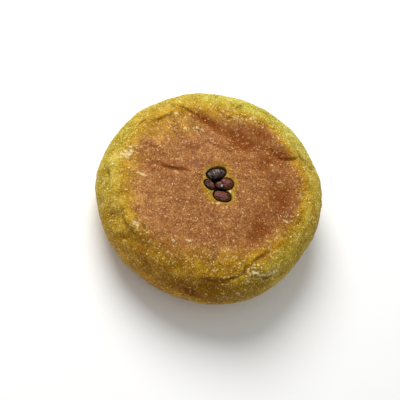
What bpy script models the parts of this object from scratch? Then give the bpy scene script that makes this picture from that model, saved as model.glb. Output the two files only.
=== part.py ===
"""Red bean mugwort bun, 100 mm across and 30 mm tall: a round of green yeast dough whose face was
baked flat and brown, with four cooked red beans pressed into its middle.

Units are millimetres until the meshes are made, then metres. +Z is up and the bun stands on its flat
foot, with the origin under the middle of its box.

The dough is one turned section whose radius waves a little round the outline, with relief on it. Relief
is placed on the chart: the skin peeled flat from the middle of the face, so that a chart point (x, y)
lies hypot(x, y) millimetres along the skin from the middle, in the direction of (x, y).
"""

import itertools
import math

import bpy
import numpy as np

MM = 0.001

# The dough's driving dimensions, in millimetres.
GIRTH_RADIUS = 50.0
HEIGHT = 30.0
GIRTH_HEIGHT = 15.5  # level of the widest ring
SHOULDER = 13.0  # the face ends this far inside the girth
FOOT_INSET = 12.0  # so does the foot
FACE_DOME = 0.8  # the face stands this much higher in its middle
SHOULDER_POWER = 2.3  # 2 is an ellipse, and more is squarer
UNDERSIDE_POWER = 2.0
FOOT_FADE = 4.0  # relief dies out over this height, which keeps the foot flat

# Waves of the outline: times round, then millimetres along the cosine and the sine.
OUTLINE_WAVES = ((2, 0.05, 1.05), (3, -0.30, -0.10), (4, -0.21, 0.16), (5, -0.17, 0.14))

# Swellings and hollows on the chart: middle, half length, half width, heading in degrees, height.
SWELLS = (
    ((-3.0, 24.5), 10.0, 4.8, -8.0, -1.5),
    ((-18.0, 24.8), 8.0, 3.0, -2.0, -1.4),
    ((17.0, 28.0), 6.5, 3.4, -12.0, -1.5),
    ((28.0, 6.0), 12.0, 4.5, 80.0, -0.9),
    ((25.5, -12.0), 8.0, 4.5, 50.0, -0.9),
    ((-24.0, -4.0), 9.0, 4.0, 20.0, -0.7),
    ((-6.0, 12.0), 9.0, 4.0, -12.0, 0.7),
    ((-8.0, 34.0), 6.0, 3.2, 10.0, 1.0),
    ((17.5, 34.5), 7.0, 3.4, -30.0, 1.3),
    ((0.5, 39.0), 3.4, 2.4, 0.0, 0.9),
    ((-37.0, 17.5), 7.0, 4.0, 70.0, 1.4),
    ((-40.5, 3.0), 6.0, 3.6, 85.0, 0.9),
    ((36.0, -23.5), 8.5, 4.6, 55.0, 1.9),
    ((23.0, -35.5), 9.0, 4.2, 35.0, 0.4),
    ((29.0, -37.0), 6.0, 4.0, 40.0, 1.4),
    ((21.0, -43.0), 6.5, 2.8, 32.0, -2.3),
    ((16.6, -51.6), 4.6, 2.2, 14.0, -1.5),
    ((-22.6, -36.8), 2.8, 2.0, 120.0, 1.4),
    ((-15.5, -43.0), 7.0, 2.8, -10.0, -1.1),
    ((-28.5, -37.0), 4.0, 2.4, -40.0, -0.8),
    ((-31.5, -37.5), 4.0, 2.8, -40.0, -1.6),
    ((-7.5, -52.0), 6.5, 2.4, -18.0, -0.9),
    ((-44.0, -23.5), 5.0, 2.0, 75.0, -1.3),
    ((-34.6, -17.5), 6.0, 3.6, 75.0, 0.6),
    ((40.5, 2.0), 8.0, 3.6, 85.0, 0.5),
)

# Creases on the chart: path, half width, depth, and how far the skin on the path's left stands up,
# which the skin on its right does where the last value is negative.
CREASES = (
    (((-27.3, -8.0), (-25.2, -6.6), (-23.1, -6.4), (-20.6, -5.7), (-18.6, -4.9),
      (-13.6, -2.6)), 0.8, 0.8, 0.5),
    (((13.4, 27.6), (16.4, 27.4), (18.6, 27.8), (20.6, 28.9), (22.7, 30.2), (23.9, 32.4)), 0.6, 0.9, 0.6),
    (((21.6, 34.6), (23.2, 33.8), (24.5, 33.0), (26.6, 32.2), (28.2, 31.9)), 0.5, 0.8, 0.4),
    (((13.4, 38.6), (17.4, 36.6), (21.0, 34.9), (24.6, 33.6)), 0.7, 0.4, 0.35),
    (((-1.4, 15.0), (0.8, 16.3), (3.2, 17.8)), 0.4, 0.4, -0.3),
    (((11.2, 19.2), (13.8, 21.1)), 0.4, 0.4, -0.2),
    (((-34.8, 22.9), (-30.9, 23.8), (-27.1, 24.2), (-23.6, 24.6), (-20.6, 24.4)), 0.6, 0.8, 0.6),
    (((-17.4, 31.9), (-14.9, 31.4), (-13.0, 30.2), (-12.6, 27.9)), 0.5, 0.5, 0.4),
    (((-38.0, 22.4), (-36.2, 22.2), (-34.6, 20.8), (-33.8, 19.4)), 0.5, 0.6, 0.3),
    (((-33.6, 19.4), (-34.4, 16.8), (-35.8, 14.1), (-37.6, 10.6), (-39.4, 7.4)), 0.5, 0.4, -0.7),
    (((-41.6, 9.8), (-42.3, 7.1), (-42.6, 5.0), (-42.9, 3.0)), 0.5, 0.55, -0.3),
    (((-11.2, 36.6), (-10.5, 39.6), (-9.0, 43.4)), 0.45, 0.45, 0.3),
    (((-2.4, 32.8), (-3.4, 34.4), (-3.9, 36.6), (-2.6, 39.2), (0.0, 40.4)), 0.45, 0.4, -0.5),
    (((-13.8, 14.8), (-7.8, 15.7), (-2.4, 17.1)), 0.6, 0.3, 0.2),
    (((15.4, -42.6), (18.8, -41.0), (21.6, -39.4), (24.6, -36.9)), 0.9, 1.4, 1.5),
    (((24.9, -36.2), (26.2, -34.6), (27.3, -33.2), (28.4, -31.8)), 0.5, 1.2, 0.9),
    (((28.4, -31.6), (29.6, -29.8), (28.9, -27.6), (30.2, -26.3)), 0.6, 1.0, 0.4),
    (((30.5, -25.4), (30.7, -23.2), (31.7, -21.0), (32.8, -19.2), (33.8, -17.0),
      (35.2, -15.4)), 0.65, 1.3, -0.8),
    (((31.6, -27.3), (33.1, -26.4), (34.9, -25.7)), 0.45, 0.8, 0.3),
    (((35.9, -26.0), (37.6, -26.4), (39.6, -24.8), (41.2, -22.4), (42.6, -20.4)), 0.5, 0.7, 0.5),
    (((32.2, -31.6), (33.0, -29.0), (34.6, -27.4)), 0.4, 0.4, 0.3),
    (((-35.2, -22.2), (-34.2, -23.8), (-33.3, -25.2), (-31.8, -27.0), (-30.4, -28.2)), 0.5, 0.5, -0.5),
    (((-47.1, -19.5), (-44.6, -21.2), (-42.4, -23.0), (-40.8, -25.6), (-41.6, -29.6)), 1.0, 0.5, 0.4),
    (((-28.8, -33.4), (-27.3, -35.4), (-24.4, -37.8), (-21.4, -39.2), (-18.0, -40.2),
      (-14.6, -40.4)), 0.8, 0.6, 0.7),
    (((-36.0, -38.4), (-33.0, -38.4), (-29.6, -38.6)), 1.2, 0.6, 0.2),
    (((-25.0, -44.9), (-22.2, -44.2), (-19.8, -43.4)), 1.0, 0.5, 0.2),
    (((-12.6, -46.6), (-9.4, -48.6), (-6.2, -50.6)), 1.0, 0.5, 0.2),
    (((12.0, -51.9), (15.6, -51.7), (19.4, -50.4)), 1.1, 0.8, 0.4),
    (((-35.2, -1.9), (-32.5, -1.7), (-29.8, -0.9)), 0.6, 0.4, 0.2),
    (((38.6, 8.0), (39.0, 4.6), (38.4, 1.0)), 0.5, 0.35, -0.25),
    (((-26.6, 17.6), (-21.6, 18.0), (-17.8, 16.2)), 0.5, 0.3, 0.2),
    (((4.0, -27.6), (9.6, -29.2), (14.2, -27.8)), 0.6, 0.25, 0.2),
)
LIFT_REACH = 2.6  # a lifted skin sinks back over about this distance from its crease

# Unevenness of the whole skin: size of a lump, then its height.
UNDULATIONS = ((21.0, 0.75), (9.0, 0.32), (4.2, 0.14))
UNDULATION_SEED = 7

# Beans: name, middle on the face, length, width, thickness, heading and rise of the length axis in
# degrees, and how far the top stands above the face.
BEANS = (
    ("bean_1", (-2.95, 3.4), 9.4, 5.3, 5.2, 50.5, -5.9, 0.8),
    ("bean_2", (-2.87, -3.03), 5.6, 3.7, 2.7, -11.5, 1.5, 0.9),
    ("bean_3", (2.46, 1.1), 8.6, 5.75, 5.65, 41.0, 0.5, 1.5),
    ("bean_4", (4.36, -4.25), 8.3, 5.2, 4.25, 23.0, -1.0, 0.45),
)

# Beans with a burst end: where along the bean its skin is drawn in, over what length, how much slimmer
# the end beyond it is, and how much deeper the waist itself is, the last two as shares of the girth.
WAISTS = {"bean_3": (-1.5, 0.8, 0.3, 0.14)}
BEAN_END_POWER = 2.5  # 2 is an ellipse, and more is blunter ends
BEAN_SIDES = 22
BEAN_RINGS = 13
SOCKET_GAP = 0.5
SOCKET_FLARE = 0.7  # the socket's rim rounds over within this distance
WELL = ("well", (0.3, -1.4), 7.0, 5.4, 4.6, 0.0, 0.0, 0.0)  # the dark hole left between the beans
DIMPLE = (0.5, 0.0, -1.0, 8.0)  # depth, middle and radius of the shallow dip that holds the beans

# Fine grid of the skin, before it is thinned to the triangles that its shape needs.
GRID_AROUND = 300
GRID_STEP_MIDDLE = 0.32  # out to GRID_MIDDLE from the middle of the face
GRID_STEP = 0.58
GRID_MIDDLE = 11.0
DOUGH_TRIANGLES = 9600

MATERIALS = {
    "dough": ((0.44, 0.27, 0.06), 0.62),
    "bean": ((0.055, 0.018, 0.016), 0.34),
}


def clear_scene():
    for old in list(bpy.data.objects):
        bpy.data.objects.remove(old, do_unlink=True)


def make_material(name):
    """Principled material of one colour."""
    colour, roughness = MATERIALS[name]
    material = bpy.data.materials.new(name)
    material.use_nodes = True
    shader = material.node_tree.nodes["Principled BSDF"]
    shader.inputs["Base Color"].default_value = (*colour, 1.0)
    shader.inputs["Roughness"].default_value = roughness
    shader.inputs["Metallic"].default_value = 0.0
    return material


def ease(low, high, x):
    """0 below low, 1 above high, and smooth between them."""
    t = np.clip((x - low) / (high - low), 0.0, 1.0)
    return t * t * (3.0 - 2.0 * t)


def lump_noise(points, size, seed):
    """Gradient noise of about -1 to 1 at each point, with lumps of the given size."""
    directions = np.random.default_rng(seed).normal(size=(256, 3))
    directions /= np.linalg.norm(directions, axis=1, keepdims=True)
    cell = np.floor(points / size).astype(np.int64)
    inside = points / size - cell
    fade = inside**3 * (inside * (inside * 6.0 - 15.0) + 10.0)
    total = np.zeros(len(points))
    for corner in itertools.product((0, 1), repeat=3):
        corner = np.array(corner)
        at = cell + corner
        pick = (at[:, 0] * 73856093 ^ at[:, 1] * 19349663 ^ at[:, 2] * 83492791) % 256
        weight = np.prod(np.where(corner, fade, 1.0 - fade), axis=1)
        total += weight * np.sum(directions[pick] * (inside - corner), axis=1)
    return 1.6 * total


def half_section(points=240):
    """Distance along the skin, radius and height, from the middle of the face to the foot's edge."""
    face = GIRTH_RADIUS - SHOULDER
    foot = GIRTH_RADIUS - FOOT_INSET
    edge_height = HEIGHT - FACE_DOME
    across = np.linspace(0.0, face, points)
    turn = np.linspace(0.0, math.pi / 2, points)[1:]
    radius = np.concatenate([
        across,
        face + (GIRTH_RADIUS - face) * np.sin(turn) ** (2 / SHOULDER_POWER),
        foot + (GIRTH_RADIUS - foot) * np.cos(turn) ** (2 / UNDERSIDE_POWER),
    ])
    height = np.concatenate([
        HEIGHT - FACE_DOME * (across / face) ** 2,
        GIRTH_HEIGHT + (edge_height - GIRTH_HEIGHT) * np.cos(turn) ** (2 / SHOULDER_POWER),
        GIRTH_HEIGHT - GIRTH_HEIGHT * np.sin(turn) ** (2 / UNDERSIDE_POWER),
    ])
    height[-1] = 0.0
    along = np.concatenate([[0.0], np.cumsum(np.hypot(np.diff(radius), np.diff(height)))])
    return along, radius, height


def smooth_skin(angle, along):
    """Points of the skin without relief, and the outward normals there."""
    table, radii, heights = half_section()
    radius = np.interp(along, table, radii)
    height = np.interp(along, table, heights)
    slope = np.stack([np.gradient(radii, table), np.gradient(heights, table)])
    out = -np.interp(along, table, slope[1])
    up = np.interp(along, table, slope[0])
    length = np.hypot(out, up)
    wave = sum(a * np.cos(n * angle) + b * np.sin(n * angle) for n, a, b in OUTLINE_WAVES)
    radius = radius * (1.0 + wave / GIRTH_RADIUS)
    ray = np.stack([np.cos(angle), np.sin(angle)], axis=1)
    points = np.column_stack([ray * radius[:, None], height])
    normals = np.column_stack([ray * (out / length)[:, None], up / length])
    return points, normals


def swell(chart, middle, half_length, half_width, heading, height):
    """A soft oval mound, or a hollow where height is negative."""
    turn = math.radians(heading)
    away = chart - np.array(middle)
    lengthways = away @ np.array([math.cos(turn), math.sin(turn)])
    sideways = away @ np.array([-math.sin(turn), math.cos(turn)])
    return height * np.exp(-((lengthways / half_length) ** 2) - (sideways / half_width) ** 2)


def rounded_path(path, steps=6):
    """A Catmull-Rom curve through the path's points."""
    path = np.array(path, float)
    ends = np.vstack([2 * path[0] - path[1], path, 2 * path[-1] - path[-2]])
    t = np.linspace(0.0, 1.0, steps, endpoint=False)[:, None]
    pieces = []
    for a, b, c, d in zip(ends, ends[1:], ends[2:], ends[3:]):
        pieces.append(0.5 * (2 * b + (c - a) * t + (2 * a - 5 * b + 4 * c - d) * t**2
                             + (3 * b - a - 3 * c + d) * t**3))
    return np.vstack([*pieces, path[-1:]])


def crease(chart, path, half_width, depth, lift):
    """A sharp fold that fades out at its two ends, with the skin lifted along one side of it."""
    curve = rounded_path(path)
    steps = np.linalg.norm(np.diff(curve, axis=0), axis=1)
    start = np.concatenate([[0.0], np.cumsum(steps)])
    nearest = np.full(len(chart), np.inf)
    side = np.zeros(len(chart))
    share = np.zeros(len(chart))
    for a, b, step, begun in zip(curve, curve[1:], steps, start):
        away = chart - a
        part = np.clip(away @ (b - a) / step**2, 0.0, 1.0)
        gap = away - part[:, None] * (b - a)
        distance = np.linalg.norm(gap, axis=1)
        closer = distance < nearest
        nearest[closer] = distance[closer]
        side[closer] = np.sign((b - a)[0] * away[:, 1] - (b - a)[1] * away[:, 0])[closer]
        share[closer] = ((begun + part * step) / start[-1])[closer]
    fade = np.sqrt(np.clip(np.sin(math.pi * np.clip(share, 0.04, 0.96)), 0.0, 1.0))
    signed = nearest * side * np.sign(lift)
    ledge = ease(-half_width, half_width, signed) * np.exp(-np.maximum(signed, 0.0) / LIFT_REACH)
    ledge *= np.exp(-((nearest / (3.0 * LIFT_REACH)) ** 2))
    return fade * (abs(lift) * ledge - depth * np.exp(-((nearest / half_width) ** 2)))


def bean_axes(heading):
    turn = math.radians(heading)
    return np.array([math.cos(turn), math.sin(turn)]), np.array([-math.sin(turn), math.cos(turn)])


def bean_girth(name, u, x):
    """Share of the full girth at u, which runs from -1 to 1 along a bean, where x is the millimetres."""
    girth = math.sqrt(1.0 - abs(u) ** BEAN_END_POWER)
    if name in WAISTS:
        middle, reach, slimmer, deeper = WAISTS[name]
        girth *= 1.0 - slimmer * (1.0 - ease(middle - reach, middle + reach, x))
        girth *= 1.0 - deeper * math.exp(-(((x - middle) / reach) ** 2))
    return girth


def bean_middle_height(thickness, stand):
    return HEIGHT + stand - thickness / 2


def press_sockets(points):
    """Lowers the skin's points round the beans, so that each bean lies in its own hollow."""
    depth, x, y, radius = DIMPLE
    away = np.hypot(points[:, 0] - x, points[:, 1] - y)
    on_face = points[:, 2] > GIRTH_HEIGHT
    face = points[:, 2] - on_face * depth * np.exp(-((away / radius) ** 2))
    floor = face.copy()
    for _, middle, length, width, thickness, heading, rise, stand in (*BEANS, WELL):
        lengthways, sideways = bean_axes(heading)
        offset = points[:, :2] - np.array(middle)
        u = offset @ lengthways
        v = offset @ sideways
        reach = ((np.abs(u) / (length / 2 + SOCKET_GAP)) ** BEAN_END_POWER
                 + (np.abs(v) / (width / 2 + SOCKET_GAP)) ** 2)
        belly = bean_middle_height(thickness, stand) + math.tan(math.radians(rise)) * u
        under = belly - (thickness / 2 + SOCKET_GAP) * np.sqrt(np.clip(1.0 - reach, 0.0, 1.0))
        beyond = (np.sqrt(reach) - 1.0) * (width / 2)
        wall = belly + (face - belly) * np.sqrt(ease(-SOCKET_FLARE, SOCKET_FLARE, beyond))
        near = on_face & (beyond < SOCKET_FLARE)
        floor = np.where(near, np.minimum(floor, np.where(reach < 1.0, under, wall)), floor)
    return np.column_stack([points[:, :2], floor])


def dough_skin(angle, along):
    """Points of the finished skin at these angles and distances from the middle of the face."""
    points, normals = smooth_skin(angle, along)
    chart = along[:, None] * np.stack([np.cos(angle), np.sin(angle)], axis=1)
    relief = np.zeros(len(points))
    for size, height in UNDULATIONS:
        relief += height * lump_noise(points, size, UNDULATION_SEED)
    for one in SWELLS:
        relief += swell(chart, *one)
    for one in CREASES:
        relief += crease(chart, *one)
    relief *= ease(0.0, FOOT_FADE, points[:, 2])
    return press_sockets(points + normals * relief[:, None])


def grid_stations():
    """Distances from the middle of the face at which the grid has a ring."""
    total = half_section()[0][-1]
    middle = np.arange(GRID_STEP_MIDDLE, GRID_MIDDLE, GRID_STEP_MIDDLE)
    outer = np.linspace(GRID_MIDDLE, total, round((total - GRID_MIDDLE) / GRID_STEP))
    return np.concatenate([middle, outer])


def make_object(name, points, faces, material):
    mesh = bpy.data.meshes.new(name)
    mesh.from_pydata((points * MM).tolist(), [], faces)
    mesh.materials.append(material)
    mesh.shade_smooth()
    obj = bpy.data.objects.new(name, mesh)
    bpy.context.scene.collection.objects.link(obj)
    return obj


def ring_faces(rings, around):
    """Quads between rings of points that follow one another, each with the same count round."""
    faces = []
    for ring, step in itertools.product(range(rings - 1), range(around)):
        a = ring * around + step
        b = ring * around + (step + 1) % around
        faces.append((a, a + around, b + around, b))
    return faces


def build_dough(material):
    """The dough, in millimetres about the middle of its face: its object and its box's middle."""
    stations = grid_stations()
    turns = np.linspace(0.0, 2 * math.pi, GRID_AROUND, endpoint=False)
    angle = np.tile(turns, len(stations))
    along = np.repeat(stations, GRID_AROUND)
    top = dough_skin(np.zeros(1), np.zeros(1))
    skin = dough_skin(angle, along)
    skin[-GRID_AROUND:, 2] = 0.0
    middle = (skin.min(axis=0) + skin.max(axis=0)) / 2 * np.array([1.0, 1.0, 0.0])
    points = np.vstack([skin, top, [[0.0, 0.0, 0.0]]])
    faces = ring_faces(len(stations), GRID_AROUND)
    last = len(skin) - GRID_AROUND
    for step in range(GRID_AROUND):
        after = (step + 1) % GRID_AROUND
        faces.append((len(skin), step, after))
        faces.append((len(skin) + 1, last + after, last + step))
    dough = make_object("dough", points - middle, faces, material)
    thin = dough.modifiers.new("thin", "DECIMATE")
    thin.ratio = DOUGH_TRIANGLES / (2 * len(points))
    thin.use_collapse_triangulate = True
    return dough, middle


def build_bean(name, place, length, width, thickness, heading, rise, stand, shift, material):
    """A bean: round across, blunt at its ends and lying in its socket."""
    lengthways, sideways = bean_axes(heading)
    points = []
    for ring in range(1, BEAN_RINGS):
        u = -math.cos(math.pi * ring / BEAN_RINGS)
        girth = bean_girth(name, u, u * length / 2)
        for step in range(BEAN_SIDES):
            turn = 2 * math.pi * step / BEAN_SIDES
            points.append((u, girth * math.cos(turn), girth * math.sin(turn)))
    points += [(-1.0, 0.0, 0.0), (1.0, 0.0, 0.0)]
    local = np.array(points) * np.array([length, width, thickness]) / 2
    flat = np.array(place) + local[:, :1] * lengthways + local[:, 1:2] * sideways
    lift = math.tan(math.radians(rise)) * local[:, 0]
    world = np.column_stack([flat, bean_middle_height(thickness, stand) + lift + local[:, 2]])
    faces = [face[::-1] for face in ring_faces(BEAN_RINGS - 1, BEAN_SIDES)]
    last = (BEAN_RINGS - 2) * BEAN_SIDES
    for step in range(BEAN_SIDES):
        after = (step + 1) % BEAN_SIDES
        faces.append((len(points) - 2, after, step))
        faces.append((len(points) - 1, last + step, last + after))
    return make_object(name, world - shift, faces, material)


def main():
    clear_scene()
    dough, middle = build_dough(make_material("dough"))
    bean_material = make_material("bean")
    for bean in BEANS:
        build_bean(*bean, middle, bean_material)


main()
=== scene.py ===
import itertools
import math
from functools import partial

import bpy
import numpy as np
from mathutils import Matrix, Vector


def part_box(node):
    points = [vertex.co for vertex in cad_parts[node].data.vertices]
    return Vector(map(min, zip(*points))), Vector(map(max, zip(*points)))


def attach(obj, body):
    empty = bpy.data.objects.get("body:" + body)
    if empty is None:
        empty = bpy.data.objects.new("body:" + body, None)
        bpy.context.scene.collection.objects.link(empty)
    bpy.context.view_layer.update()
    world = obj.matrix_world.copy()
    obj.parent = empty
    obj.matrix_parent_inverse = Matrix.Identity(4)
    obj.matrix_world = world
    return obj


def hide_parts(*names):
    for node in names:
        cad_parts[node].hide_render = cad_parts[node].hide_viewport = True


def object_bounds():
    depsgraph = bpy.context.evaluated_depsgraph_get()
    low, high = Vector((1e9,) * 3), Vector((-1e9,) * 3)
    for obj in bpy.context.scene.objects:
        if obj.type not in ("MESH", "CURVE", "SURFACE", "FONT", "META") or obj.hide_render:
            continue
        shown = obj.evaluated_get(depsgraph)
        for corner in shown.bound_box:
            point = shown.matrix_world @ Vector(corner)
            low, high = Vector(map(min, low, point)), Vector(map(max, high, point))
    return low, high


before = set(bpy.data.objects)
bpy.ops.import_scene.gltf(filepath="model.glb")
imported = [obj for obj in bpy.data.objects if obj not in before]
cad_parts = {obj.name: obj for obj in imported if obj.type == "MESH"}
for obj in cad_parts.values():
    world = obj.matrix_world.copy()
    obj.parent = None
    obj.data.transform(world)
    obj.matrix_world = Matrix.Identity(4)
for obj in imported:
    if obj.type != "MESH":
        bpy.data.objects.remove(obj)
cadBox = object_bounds()
mm = 0.001
print("frame loaded:", sorted(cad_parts))

# All sizes are in millimetres. The chart is the skin peeled flat: a chart point (x, y) lies hypot(x, y) along
# the skin from the middle of the face, in the direction of (x, y).

dough = {
    "girthRadius": 50.0,
    "height": 30.0,
    "girthHeight": 15.5,
    "shoulder": 13.0,        # the face ends this far inside the girth
    "footInset": 12.0,
    "faceDome": 0.8,
    "shoulderPower": 2.3,    # 2 is an ellipse, more is squarer
    "undersidePower": 2.0,
    "footFade": 4.0,         # relief dies out over this height above the foot
    "outlineWaves": ((2, 0.05, 1.05), (3, -0.30, -0.10), (4, -0.21, 0.16), (5, -0.17, 0.14)),
    "undulations": ((21.0, 0.75), (9.0, 0.32), (4.2, 0.14)),    # lump size, height
    "undulationSeed": 7,
    "fineLumps": ((3.2, 0.20, 31), (1.6, 0.11, 32)),            # lump size, height, seed
    "fineShare": (0.55, 0.2),                                   # everywhere, and more on the unbrowned rim
    "wrinkles": (5.5, 0.38, 41),                                # spacing, depth, seed
    "wrinkleBend": (1.6, 1.2, 8.0),                             # flatness, wander and its size
    "pressed": 0.6,          # share of the wrinkles that the pan smoothed
    "hollowDepth": 0.25,     # fine relief this deep gets the full painted shade
    "skinSink": 0.2,         # keeps the finer skin inside the solid it stands for
    "liftReach": 2.6,        # a lifted skin sinks back over about this distance,
    "liftEnd": 3.0,          # and fades to the sides within this many times that
    "creaseReach": 9.0,      # a crease is worked out only within this many times that
    "creaseTip": 0.04,       # its tips are as deep as it is at this share of its length
    "around": 480,
    "ringStepMiddle": 0.26,
    "ringStep": 0.46,
    "middle": 11.0,
    "footRings": 10,
}

# Swellings and hollows: middle, half length, half width, heading in degrees, height
swells = (
    (-3, 24.5, 10, 4.8, -8, -1.5), (-18, 24.8, 8, 3, -2, -1.4), (17, 28, 6.5, 3.4, -12, -1.5),
    (28, 6, 12, 4.5, 80, -0.9), (25.5, -12, 8, 4.5, 50, -0.9), (-24, -4, 9, 4, 20, -0.7),
    (-6, 12, 9, 4, -12, 0.7), (-8, 34, 6, 3.2, 10, 1), (17.5, 34.5, 7, 3.4, -30, 1.3),
    (0.5, 39, 3.4, 2.4, 0, 0.9), (-37, 17.5, 7, 4, 70, 1.4), (-40.5, 3, 6, 3.6, 85, 0.9),
    (36, -23.5, 8.5, 4.6, 55, 1.9), (23, -35.5, 9, 4.2, 35, 0.4), (29, -37, 6, 4, 40, 1.4),
    (21, -43, 6.5, 2.8, 32, -2.3), (16.6, -51.6, 4.6, 2.2, 14, -1.5), (-22.6, -36.8, 2.8, 2, 120, 1.4),
    (-15.5, -43, 7, 2.8, -10, -1.1), (-28.5, -37, 4, 2.4, -40, -0.8), (-31.5, -37.5, 4, 2.8, -40, -1.6),
    (-7.5, -52, 6.5, 2.4, -18, -0.9), (-44, -23.5, 5, 2, 75, -1.3), (-34.6, -17.5, 6, 3.6, 75, 0.6),
    (40.5, 2, 8, 3.6, 85, 0.5),
)

# Creases: path, half width, depth, how far the skin on the path's left stands up (its right where negative)
# and how dark the painted shade along it is
creases = (
    (((-27.3, -8), (-25.2, -6.6), (-23.1, -6.4), (-20.6, -5.7), (-18.6, -4.9), (-13.6, -2.6)),
     0.8, 0.8, 0.5, 1),
    (((13.4, 27.6), (16.4, 27.4), (18.6, 27.8), (20.6, 28.9), (22.7, 30.2), (23.9, 32.4)), 0.6, 0.9, 0.6, 1),
    (((21.6, 34.6), (23.2, 33.8), (24.5, 33), (26.6, 32.2), (28.2, 31.9)), 0.5, 0.8, 0.4, 1),
    (((13.4, 38.6), (17.4, 36.6), (21, 34.9), (24.6, 33.6)), 0.7, 0.4, 0.35, 0.2),
    (((-1.4, 15), (0.8, 16.3), (3.2, 17.8)), 0.4, 0.4, -0.3, 0.7),
    (((11.2, 19.2), (13.8, 21.1)), 0.4, 0.4, -0.2, 0.7),
    (((-34.8, 22.9), (-30.9, 23.8), (-27.1, 24.2), (-23.6, 24.6), (-20.6, 24.4)), 0.6, 0.8, 0.6, 0.35),
    (((-17.4, 31.9), (-14.9, 31.4), (-13, 30.2), (-12.6, 27.9)), 0.5, 0.5, 0.4, 0.5),
    (((-38, 22.4), (-36.2, 22.2), (-34.6, 20.8), (-33.8, 19.4)), 0.5, 0.6, 0.3, 0.5),
    (((-33.6, 19.4), (-34.4, 16.8), (-35.8, 14.1), (-37.6, 10.6), (-39.4, 7.4)), 0.5, 0.4, -0.7, 0.4),
    (((-41.6, 9.8), (-42.3, 7.1), (-42.6, 5), (-42.9, 3)), 0.5, 0.55, -0.3, 0.9),
    (((-11.2, 36.6), (-10.5, 39.6), (-9, 43.4)), 0.45, 0.45, 0.3, 0.5),
    (((-2.4, 32.8), (-3.4, 34.4), (-3.9, 36.6), (-2.6, 39.2), (0, 40.4)), 0.45, 0.4, -0.5, 0.6),
    (((-13.8, 14.8), (-7.8, 15.7), (-2.4, 17.1)), 0.6, 0.3, 0.2, 0.3),
    (((15.4, -42.6), (18.8, -41), (21.6, -39.4), (24.6, -36.9)), 0.9, 1.4, 1.5, 1),
    (((24.9, -36.2), (26.2, -34.6), (27.3, -33.2), (28.4, -31.8)), 0.5, 1.2, 0.9, 1),
    (((28.4, -31.6), (29.6, -29.8), (28.9, -27.6), (30.2, -26.3)), 0.6, 1, 0.4, 0.9),
    (((30.5, -25.4), (30.7, -23.2), (31.7, -21), (32.8, -19.2), (33.8, -17), (35.2, -15.4)),
     0.65, 1.3, -0.8, 1),
    (((31.6, -27.3), (33.1, -26.4), (34.9, -25.7)), 0.45, 0.8, 0.3, 1),
    (((35.9, -26), (37.6, -26.4), (39.6, -24.8), (41.2, -22.4), (42.6, -20.4)), 0.5, 0.7, 0.5, 0.6),
    (((32.2, -31.6), (33, -29), (34.6, -27.4)), 0.4, 0.4, 0.3, 0.4),
    (((-35.2, -22.2), (-34.2, -23.8), (-33.3, -25.2), (-31.8, -27), (-30.4, -28.2)), 0.5, 0.5, -0.5, 0.5),
    (((-47.1, -19.5), (-44.6, -21.2), (-42.4, -23), (-40.8, -25.6), (-41.6, -29.6)), 1, 0.5, 0.4, 0.5),
    (((-28.8, -33.4), (-27.3, -35.4), (-24.4, -37.8), (-21.4, -39.2), (-18, -40.2), (-14.6, -40.4)),
     0.8, 0.6, 0.7, 0.6),
    (((-36, -38.4), (-33, -38.4), (-29.6, -38.6)), 1.2, 0.6, 0.2, 0.4),
    (((-25, -44.9), (-22.2, -44.2), (-19.8, -43.4)), 1, 0.5, 0.2, 0.5),
    (((-12.6, -46.6), (-9.4, -48.6), (-6.2, -50.6)), 1, 0.5, 0.2, 0.5),
    (((12, -51.9), (15.6, -51.7), (19.4, -50.4)), 1.1, 0.8, 0.4, 0.6),
    (((-35.2, -1.9), (-32.5, -1.7), (-29.8, -0.9)), 0.6, 0.4, 0.2, 0.6),
    (((38.6, 8), (39, 4.6), (38.4, 1)), 0.5, 0.35, -0.25, 0.2),
    (((-26.6, 17.6), (-21.6, 18), (-17.8, 16.2)), 0.5, 0.3, 0.2, 0.2),
    (((4, -27.6), (9.6, -29.2), (14.2, -27.8)), 0.6, 0.25, 0.2, 0.1),
)

# Beans: middle on the face, length, width, thickness, heading and rise in degrees, and stand above the face
beans = {
    "bean_1": ((-2.95, 3.4), 9.4, 5.3, 5.2, 50.5, -5.9, 0.8),
    "bean_2": ((-2.87, -3.03), 5.6, 3.7, 2.7, -11.5, 1.5, 0.9),
    "bean_3": ((2.46, 1.1), 8.6, 5.75, 5.65, 41.0, 0.5, 1.5),
    "bean_4": ((4.36, -4.25), 8.3, 5.2, 4.25, 23.0, -1.0, 0.45),
}

# The burst end of a bean: where its skin is drawn in, over what length, how much slimmer the end beyond it is
# and how much deeper the waist itself is
waists = {"bean_3": (-1.5, 0.8, 0.3, 0.14)}

socket = {
    "gap": 0.15,
    "flare": 0.32,           # the rim rounds over within this distance
    "endPower": 2.5,         # 2 is an ellipse, more is blunter bean ends
    "well": ((0.3, -1.4), 7.0, 5.4, 4.6, 0.0, 0.0, 0.0),     # the dark hole left between the beans
    "dimple": (0.5, 0.0, -1.0, 8.0),                         # depth, middle and radius of the dip round it
    "markSpan": (-3.0, 9.0), # distances outside a socket that the skin's marks tell apart
}

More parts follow.
